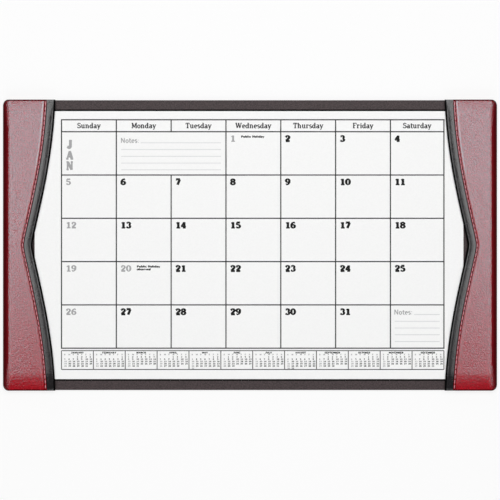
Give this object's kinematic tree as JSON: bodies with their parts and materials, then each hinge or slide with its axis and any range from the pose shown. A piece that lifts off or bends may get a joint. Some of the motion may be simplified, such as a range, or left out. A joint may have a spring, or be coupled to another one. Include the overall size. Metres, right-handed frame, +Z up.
{
  "type": "desk pad calendar",
  "caption": "Felt-backed desk pad with padded leather side rails, waisted and edged with a sewn strip, that hold a tear-off monthly paper calendar lying on the pad.",
  "frame": {"origin": "on the desk, under the middle of the pad", "axes": "+X to the right along the pad's width, +Y to the rear, +Z up from the desk"},
  "size_m": [0.8636, 0.508, 0.0137],
  "materials": {
    "board": "raw hardboard",
    "black_cover": "fine-grained leatherette, satin",
    "felt": "pressed felt, matt",
    "lining": "plain woven lining, matt",
    "foam": "open-cell foam, matt",
    "burgundy_leather": "pebble-grained leather with a satin sheen",
    "black_leather": "pebble-grained leather with a satin sheen",
    "thread": "twisted sewing thread",
    "black_card": "solid black card, matt",
    "binding_glue": "flexible padding glue",
    "paper": "smooth uncoated paper, printed in black and grey"
  },
  "bodies": {
    "base": {"core_board": "board", "top_cover": "black_cover", "felt_backing": "felt", "left_rail_spacer": "board", "left_rail_lining": "lining", "left_rail_stiffener": "board", "left_rail_padding": "foam", "left_rail_panel": "burgundy_leather", "left_rail_edge_strip": "black_leather", "left_rail_stitching": "thread", "right_rail_spacer": "board", "right_rail_lining": "lining", "right_rail_stiffener": "board", "right_rail_padding": "foam", "right_rail_panel": "burgundy_leather", "right_rail_edge_strip": "black_leather", "right_rail_stitching": "thread"},
    "calendar": {"backing_card": "black_card", "binding_glue": "binding_glue"},
    "month_01": {"month_sheet_01": "paper"},
    "month_02": {"month_sheet_02": "paper"},
    "month_03": {"month_sheet_03": "paper"},
    "month_04": {"month_sheet_04": "paper"},
    "month_05": {"month_sheet_05": "paper"},
    "month_06": {"month_sheet_06": "paper"},
    "month_07": {"month_sheet_07": "paper"},
    "month_08": {"month_sheet_08": "paper"},
    "month_09": {"month_sheet_09": "paper"},
    "month_10": {"month_sheet_10": "paper"},
    "month_11": {"month_sheet_11": "paper"},
    "month_12": {"month_sheet_12": "paper"}
  },
  "joints": [
    {"name": "calendar_slide", "type": "slide", "parent": "base", "child": "calendar", "axis": [0, -1, 0], "range_m": [0, 0.49]},
    {"name": "month_01_slide", "type": "slide", "parent": "calendar", "child": "month_01", "axis": [0, -1, 0], "range_m": [0, 0.49]},
    {"name": "month_02_slide", "type": "slide", "parent": "calendar", "child": "month_02", "axis": [0, -1, 0], "range_m": [0, 0.49]},
    {"name": "month_03_slide", "type": "slide", "parent": "calendar", "child": "month_03", "axis": [0, -1, 0], "range_m": [0, 0.49]},
    {"name": "month_04_slide", "type": "slide", "parent": "calendar", "child": "month_04", "axis": [0, -1, 0], "range_m": [0, 0.49]},
    {"name": "month_05_slide", "type": "slide", "parent": "calendar", "child": "month_05", "axis": [0, -1, 0], "range_m": [0, 0.49]},
    {"name": "month_06_slide", "type": "slide", "parent": "calendar", "child": "month_06", "axis": [0, -1, 0], "range_m": [0, 0.49]},
    {"name": "month_07_slide", "type": "slide", "parent": "calendar", "child": "month_07", "axis": [0, -1, 0], "range_m": [0, 0.49]},
    {"name": "month_08_slide", "type": "slide", "parent": "calendar", "child": "month_08", "axis": [0, -1, 0], "range_m": [0, 0.49]},
    {"name": "month_09_slide", "type": "slide", "parent": "calendar", "child": "month_09", "axis": [0, -1, 0], "range_m": [0, 0.49]},
    {"name": "month_10_slide", "type": "slide", "parent": "calendar", "child": "month_10", "axis": [0, -1, 0], "range_m": [0, 0.49]},
    {"name": "month_11_slide", "type": "slide", "parent": "calendar", "child": "month_11", "axis": [0, -1, 0], "range_m": [0, 0.49]},
    {"name": "month_12_slide", "type": "slide", "parent": "calendar", "child": "month_12", "axis": [0, -1, 0], "range_m": [0, 0.49]}
  ]
}
